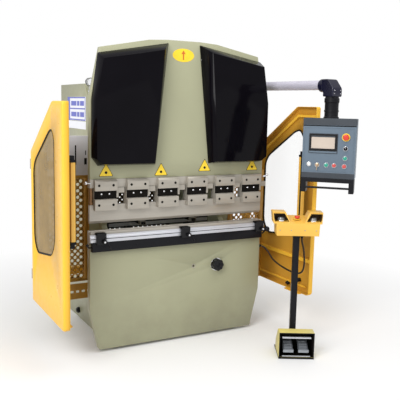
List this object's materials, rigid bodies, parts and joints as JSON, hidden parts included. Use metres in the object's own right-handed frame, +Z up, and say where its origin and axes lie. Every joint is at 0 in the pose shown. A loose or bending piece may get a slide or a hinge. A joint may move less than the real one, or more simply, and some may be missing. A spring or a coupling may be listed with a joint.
{
  "type": "press brake",
  "caption": "Hydraulic press brake with faceted cylinder covers, clamped punch over a die, hinged side guards, a control console on a swinging arm and a two-hand foot pedestal.",
  "frame": {"origin": "middle of the footprint, on the floor", "axes": "+X to the operator's right along the bed, +Y away from the operator, +Z up"},
  "size_m": [1.9138, 1.8804, 2.045],
  "materials": {
    "sage_paint": "satin",
    "guard_yellow": "satin",
    "mesh_gold": "satin",
    "gloss_black": "gloss",
    "satin_black": "satin",
    "tool_steel": "machined",
    "chrome_rod": "polished",
    "rail_aluminium": "satin",
    "console_grey": "satin",
    "motor_grey": "painted",
    "cover_white": "satin",
    "tinted_window": "clear tint",
    "black_plastic": "matte",
    "button_red": "gloss",
    "button_green": "gloss",
    "pedal_grey": "satin",
    "pedestal_yellow": "satin",
    "cable_jacket": "matte"
  },
  "bodies": {
    "frame": {"left_side_frame": "sage_paint", "right_side_frame": "sage_paint", "bed_plate": "sage_paint", "oil_tank": "sage_paint", "pump_motor": "motor_grey", "electrical_cabinet": "sage_paint", "left_cylinder": "tool_steel", "right_cylinder": "tool_steel", "left_cylinder_cover": "gloss_black", "right_cylinder_cover": "gloss_black", "die_block": "tool_steel", "front_rail": "rail_aluminium", "rail_backing_bar": "satin_black", "backgauge_base": "satin_black", "left_mesh_panel": "mesh_gold", "right_mesh_panel": "mesh_gold", "rear_mesh_panel": "mesh_gold", "side_cover_plate": "cover_white", "left_guard_post": "guard_yellow", "right_guard_post": "guard_yellow", "pedestal_post": "satin_black", "pedal_housing": "pedestal_yellow", "pedestal_head": "pedestal_yellow", "pedestal_cable": "cable_jacket"},
    "ram": {"ram_plate": "sage_paint", "clamp_beam": "tool_steel", "punch": "tool_steel", "left_piston_rod": "chrome_rod", "right_piston_rod": "chrome_rod", "punch_clamp_1": "tool_steel", "punch_clamp_2": "tool_steel", "punch_clamp_3": "tool_steel", "punch_clamp_4": "tool_steel", "punch_clamp_5": "tool_steel", "punch_clamp_6": "tool_steel"},
    "backgauge": {"backgauge_beam": "satin_black"},
    "left_slide": {"left_sheet_slide": "black_plastic"},
    "middle_slide": {"middle_sheet_slide": "black_plastic"},
    "right_slide": {"right_sheet_slide": "black_plastic"},
    "handwheel": {"stop_handwheel": "black_plastic"},
    "left_side_guard": {"left_guard": "guard_yellow", "left_guard_window": "tinted_window", "left_light_curtain": "guard_yellow"},
    "right_side_guard": {"right_guard": "guard_yellow", "right_guard_window": "tinted_window", "right_light_curtain": "guard_yellow"},
    "arm": {"pendant_arm": "gloss_black"},
    "console": {"console_box": "console_grey"},
    "console_stop_button": {"console_estop": "button_red"},
    "mode_selector": {"console_selector": "black_plastic"},
    "key": {"key_switch": "chrome_rod"},
    "green_push_a": {"green_button_a": "button_green"},
    "red_push_a": {"red_button_a": "button_red"},
    "green_push_b": {"green_button_b": "button_green"},
    "red_push_b": {"red_button_b": "button_red"},
    "left_foot_pedal": {"left_pedal": "pedal_grey"},
    "left_palm": {"left_palm_button": "black_plastic"},
    "right_foot_pedal": {"right_pedal": "pedal_grey"},
    "right_palm": {"right_palm_button": "black_plastic"},
    "pedestal_stop_button": {"pedestal_estop": "button_red"}
  },
  "joints": [
    {"name": "ram_stroke", "type": "slide", "parent": "frame", "child": "ram", "axis": [0, 0, 1], "range_m": [-0.054, 0.046]},
    {"name": "backgauge_travel", "type": "slide", "parent": "frame", "child": "backgauge", "axis": [0, 1, 0], "range_m": [-0.12, 0.2]},
    {"name": "left_slide_travel", "type": "slide", "parent": "frame", "child": "left_slide", "axis": [1, 0, 0], "range_m": [-0.032, 0.28]},
    {"name": "middle_slide_travel", "type": "slide", "parent": "frame", "child": "middle_slide", "axis": [1, 0, 0], "range_m": [-0.25, 0.32]},
    {"name": "right_slide_travel", "type": "slide", "parent": "frame", "child": "right_slide", "axis": [1, 0, 0], "range_m": [-0.2, 0.016]},
    {"name": "handwheel_turn", "type": "hinge", "parent": "frame", "child": "handwheel", "pos_m": [0.24807, -0.25479, 0.514], "axis": [0, 1, 0], "continuous": true},
    {"name": "left_guard_swing", "type": "hinge", "parent": "frame", "child": "left_side_guard", "pos_m": [-0.94993, 0.19221, 0.78], "axis": [0, 0, 1], "range_deg": [-100, 0]},
    {"name": "right_guard_swing", "type": "hinge", "parent": "frame", "child": "right_side_guard", "pos_m": [0.87406, 0.19221, 0.78], "axis": [0, 0, 1], "range_deg": [0, 100]},
    {"name": "arm_swing", "type": "hinge", "parent": "frame", "child": "arm", "pos_m": [0.70207, -0.03479, 1.778], "axis": [0, 0, 1], "range_deg": [-18, 80]},
    {"name": "console_swivel", "type": "hinge", "parent": "arm", "child": "console", "pos_m": [0.78207, -0.76679, 1.662], "axis": [0, 0, 1], "range_deg": [-60, 60]},
    {"name": "console_stop_press", "type": "slide", "parent": "console", "child": "console_stop_button", "axis": [0.7193, 0.6947, 0], "range_m": [0, 0.005], "stiffness_N_per_m": 600, "springref_m": -0.003},
    {"name": "green_a_press", "type": "slide", "parent": "console", "child": "green_push_a", "axis": [0.7193, 0.6947, 0], "range_m": [0, 0.004], "stiffness_N_per_m": 400, "springref_m": -0.002},
    {"name": "red_a_press", "type": "slide", "parent": "console", "child": "red_push_a", "axis": [0.7193, 0.6947, 0], "range_m": [0, 0.004], "stiffness_N_per_m": 400, "springref_m": -0.002},
    {"name": "green_b_press", "type": "slide", "parent": "console", "child": "green_push_b", "axis": [0.7193, 0.6947, 0], "range_m": [0, 0.004], "stiffness_N_per_m": 400, "springref_m": -0.002},
    {"name": "red_b_press", "type": "slide", "parent": "console", "child": "red_push_b", "axis": [0.7193, 0.6947, 0], "range_m": [0, 0.004], "stiffness_N_per_m": 400, "springref_m": -0.002},
    {"name": "selector_turn", "type": "hinge", "parent": "console", "child": "mode_selector", "pos_m": [0.8204, -0.87991, 1.37], "axis": [0.7193, 0.6947, 0], "range_deg": [-45, 45]},
    {"name": "key_turn", "type": "hinge", "parent": "console", "child": "key", "pos_m": [0.69675, -0.75187, 1.258], "axis": [0.7193, 0.6947, 0], "range_deg": [0, 90]},
    {"name": "left_pedal_press", "type": "hinge", "parent": "frame", "child": "left_foot_pedal", "pos_m": [0.56278, -0.7549, 0.092], "axis": [0.8805, -0.4741, 0], "range_deg": [0, 8], "stiffness_Nm_per_rad": 10, "springref_deg": -8.59},
    {"name": "right_pedal_press", "type": "hinge", "parent": "frame", "child": "right_foot_pedal", "pos_m": [0.56278, -0.7549, 0.092], "axis": [0.8805, -0.4741, 0], "range_deg": [0, 8], "stiffness_Nm_per_rad": 10, "springref_deg": -8.59},
    {"name": "left_palm_press", "type": "slide", "parent": "frame", "child": "left_palm", "axis": [0, 0, -1], "range_m": [0, 0.004], "stiffness_N_per_m": 1500, "springref_m": -0.005},
    {"name": "right_palm_press", "type": "slide", "parent": "frame", "child": "right_palm", "axis": [0, 0, -1], "range_m": [0, 0.004], "stiffness_N_per_m": 1500, "springref_m": -0.005},
    {"name": "pedestal_stop_press", "type": "slide", "parent": "frame", "child": "pedestal_stop_button", "axis": [0, 0, -1], "range_m": [0, 0.005], "stiffness_N_per_m": 1200, "springref_m": -0.004}
  ]
}
